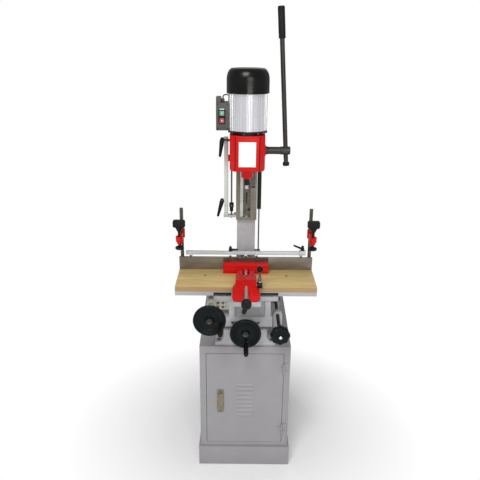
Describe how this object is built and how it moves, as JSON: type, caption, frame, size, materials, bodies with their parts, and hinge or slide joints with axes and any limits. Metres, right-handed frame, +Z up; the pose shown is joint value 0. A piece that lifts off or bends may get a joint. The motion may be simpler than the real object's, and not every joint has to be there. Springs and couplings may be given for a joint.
{
  "type": "mortiser",
  "caption": "Cabinet-mounted hollow chisel mortiser with tilting motor head on a dovetail column, long feed lever, compound table, front vise and side hold-downs.",
  "frame": {"origin": "on the floor at the middle of the plinth's four anchor holes", "axes": "+X to the operator's right, +Y to the back of the machine, +Z up"},
  "size_m": [0.593, 0.7315, 1.8835],
  "materials": {
    "grey_paint": "satin enamel",
    "beige_paint": "satin enamel",
    "red_paint": "gloss enamel",
    "bright_steel": "turned",
    "nickel": "satin nickel",
    "bare_iron": "oiled",
    "aluminium": "cast",
    "black_paint": "gloss",
    "black_plastic": "moulded",
    "box_plastic": "moulded",
    "green_plastic": "moulded",
    "red_plastic": "moulded",
    "pine": "clear lacquer",
    "rubber": "matt"
  },
  "bodies": {
    "stand": {"plinth": "grey_paint", "cabinet_shell": "grey_paint", "door_hinges": "grey_paint", "base_casting": "grey_paint", "pivot_bolt": "bright_steel"},
    "door": {"cabinet_door": "grey_paint"},
    "latch": {"latch_handle": "nickel"},
    "tilt_drive": {"tilt_knob": "black_plastic", "tilt_pinion_shaft": "bright_steel"},
    "column": {"column": "grey_paint", "column_rack": "bare_iron", "tilt_sector": "bare_iron", "depth_bracket": "grey_paint", "scale_bar": "aluminium", "stop_rod": "bright_steel", "spring_rod": "bright_steel"},
    "collar": {"stop_collar": "black_plastic"},
    "stop_lock": {"stop_lock_lever": "black_plastic"},
    "head": {"head_casting": "red_paint", "motor_flange": "black_paint", "motor_body": "aluminium", "fan_cover": "black_paint", "switch_box": "box_plastic", "motor_lead": "rubber", "spring_cylinder": "black_paint", "hollow_chisel": "bare_iron"},
    "head_lock": {"head_lock_lever": "black_plastic"},
    "green_button": {"start_button": "green_plastic"},
    "red_button": {"stop_button": "red_plastic"},
    "spindle": {"motor_rotor": "bright_steel", "drill_chuck": "bare_iron", "auger_bit": "bright_steel"},
    "lever": {"feed_lever": "black_paint", "feed_pinion_shaft": "bright_steel"},
    "saddle": {"saddle_casting": "grey_paint", "feed_bracket": "beige_paint"},
    "cross_drive": {"cross_wheel": "black_plastic", "cross_screw": "bright_steel"},
    "cross_handle": {"cross_grip": "black_plastic"},
    "feed_drive": {"feed_wheel": "black_plastic", "feed_shaft": "bright_steel"},
    "feed_handle": {"feed_grip": "black_plastic"},
    "table": {"table_plate": "grey_paint", "wood_board": "pine", "fence": "bare_iron", "stop_rail": "aluminium", "hold_down_posts": "bright_steel", "vise_body": "red_paint"},
    "stop_block": {"rail_stop": "aluminium"},
    "left_clamp": {"rail_lever_left": "black_plastic"},
    "right_clamp": {"rail_lever_right": "black_plastic"},
    "arm_left": {"hold_down_arm_left": "red_paint"},
    "arm_right": {"hold_down_arm_right": "red_paint"},
    "pad_left": {"hold_down_pad_left": "rubber"},
    "pad_right": {"hold_down_pad_right": "rubber"},
    "knob_left": {"hold_down_knob_left": "black_plastic"},
    "knob_right": {"hold_down_knob_right": "black_plastic"},
    "jaw": {"vise_jaw": "red_paint"},
    "screw": {"vise_screw": "bright_steel"},
    "cam": {"cam_lever": "black_plastic"}
  },
  "joints": [
    {"name": "door_hinge", "type": "hinge", "parent": "stand", "child": "door", "pos_m": [0.16075, -0.2545, 0.3315], "axis": [0, 0, 1], "range_deg": [0, 110]},
    {"name": "latch_turn", "type": "hinge", "parent": "door", "child": "latch", "pos_m": [-0.102, -0.25, 0.3225], "axis": [0, 1, 0], "range_deg": [0, 90]},
    {"name": "column_tilt", "type": "hinge", "parent": "stand", "child": "column", "pos_m": [0, 0, 0.855], "axis": [0, 1, 0], "range_deg": [-30, 30]},
    {"name": "tilt_knob_turn", "type": "hinge", "parent": "stand", "child": "tilt_drive", "pos_m": [0.13373, -0.2, 0.68986], "axis": [0, 1, 0], "range_deg": [-335, 335]},
    {"name": "head_slide", "type": "slide", "parent": "column", "child": "head", "axis": [0, 0, 1], "range_m": [-0.1, 0], "stiffness_N_per_m": 500, "springref_m": 0.8},
    {"name": "lever_turn", "type": "hinge", "parent": "head", "child": "lever", "pos_m": [0.1, -0.075, 1.357], "axis": [1, 0, 0], "range_deg": [-0.5, 115]},
    {"name": "spindle_spin", "type": "hinge", "parent": "head", "child": "spindle", "pos_m": [0, -0.118, 1.2], "axis": [0, 0, 1], "continuous": true},
    {"name": "start_press", "type": "slide", "parent": "head", "child": "green_button", "axis": [0, 1, 0], "range_m": [0, 0.003], "stiffness_N_per_m": 300, "springref_m": -0.001},
    {"name": "stop_press", "type": "slide", "parent": "head", "child": "red_button", "axis": [0, 1, 0], "range_m": [0, 0.003], "stiffness_N_per_m": 300, "springref_m": -0.001},
    {"name": "head_lock_turn", "type": "hinge", "parent": "head", "child": "head_lock", "pos_m": [-0.09, -0.071, 1.395], "axis": [1, 0, 0], "range_deg": [-90, 20]},
    {"name": "stop_lock_turn", "type": "hinge", "parent": "column", "child": "stop_lock", "pos_m": [-0.1, -0.016, 1.134], "axis": [1, 0, 0], "range_deg": [-40, 0]},
    {"name": "collar_slide", "type": "slide", "parent": "column", "child": "collar", "axis": [0, 0, 1], "range_m": [0, 0.04]},
    {"name": "saddle_slide", "type": "slide", "parent": "stand", "child": "saddle", "axis": [0, 1, 0], "range_m": [-0.06, 0]},
    {"name": "cross_wheel_turn", "type": "hinge", "parent": "saddle", "child": "cross_drive", "pos_m": [0, -0.291, 0.665], "axis": [0, 1, 0], "range_deg": [-5418, 18]},
    {"name": "cross_grip_spin", "type": "hinge", "parent": "cross_drive", "child": "cross_handle", "pos_m": [0.002, -0.32, 0.619], "axis": [0, 1, 0], "continuous": true},
    {"name": "table_slide", "type": "slide", "parent": "saddle", "child": "table", "axis": [1, 0, 0], "range_m": [-0.05, 0.03]},
    {"name": "feed_wheel_turn", "type": "hinge", "parent": "saddle", "child": "feed_drive", "pos_m": [-0.137, -0.383, 0.769], "axis": [0, 1, 0], "range_deg": [-144, 87]},
    {"name": "feed_grip_spin", "type": "hinge", "parent": "feed_drive", "child": "feed_handle", "pos_m": [-0.09377, -0.42, 0.75327], "axis": [0, 1, 0], "continuous": true},
    {"name": "rail_stop_slide", "type": "slide", "parent": "table", "child": "stop_block", "axis": [1, 0, 0], "range_m": [-0.15, 0]},
    {"name": "left_clamp_turn", "type": "hinge", "parent": "table", "child": "left_clamp", "pos_m": [-0.065, -0.051, 0.94], "axis": [0, 0, 1], "range_deg": [-90, 0]},
    {"name": "right_clamp_turn", "type": "hinge", "parent": "stop_block", "child": "right_clamp", "pos_m": [0.239, -0.051, 0.94], "axis": [0, 0, 1], "range_deg": [0, 90]},
    {"name": "left_arm_slide", "type": "slide", "parent": "table", "child": "arm_left", "axis": [0, 0, 1], "range_m": [-0.05, 0]},
    {"name": "right_arm_slide", "type": "slide", "parent": "table", "child": "arm_right", "axis": [0, 0, 1], "range_m": [-0.05, 0]},
    {"name": "left_pad_slide", "type": "slide", "parent": "arm_left", "child": "pad_left", "axis": [0, 0, 1], "range_m": [-0.02, 0]},
    {"name": "right_pad_slide", "type": "slide", "parent": "arm_right", "child": "pad_right", "axis": [0, 0, 1], "range_m": [-0.02, 0]},
    {"name": "left_knob_turn", "type": "hinge", "parent": "pad_left", "child": "knob_left", "pos_m": [-0.2715, -0.118, 1.06], "axis": [0, 0, 1], "range_deg": [-2910, 30]},
    {"name": "right_knob_turn", "type": "hinge", "parent": "pad_right", "child": "knob_right", "pos_m": [0.2715, -0.118, 1.06], "axis": [0, 0, 1], "range_deg": [-2910, 30]},
    {"name": "jaw_slide", "type": "slide", "parent": "table", "child": "jaw", "axis": [0, 1, 0], "range_m": [-0.05, 0.0015]},
    {"name": "vise_screw_turn", "type": "hinge", "parent": "jaw", "child": "screw", "pos_m": [0, -0.44, 0.865], "axis": [0, 1, 0], "range_deg": [-4518, 153]},
    {"name": "cam_lever_turn", "type": "hinge", "parent": "table", "child": "cam", "pos_m": [0.05, -0.273, 0.867], "axis": [1, 0, 0], "range_deg": [0, 90]}
  ],
  "couplings": [
    {"joint": "tilt_knob_turn", "follows": "column_tilt", "ratio": -11.143},
    {"joint": "lever_turn", "follows": "head_slide", "rad_per_m": -20},
    {"joint": "feed_wheel_turn", "follows": "table_slide", "rad_per_m": 50},
    {"joint": "cross_wheel_turn", "follows": "saddle_slide", "rad_per_m": 1570.8},
    {"joint": "vise_screw_turn", "follows": "jaw_slide", "rad_per_m": 1570.8},
    {"joint": "left_knob_turn", "follows": "left_pad_slide", "rad_per_m": 2513.3},
    {"joint": "right_knob_turn", "follows": "right_pad_slide", "rad_per_m": 2513.3}
  ]
}
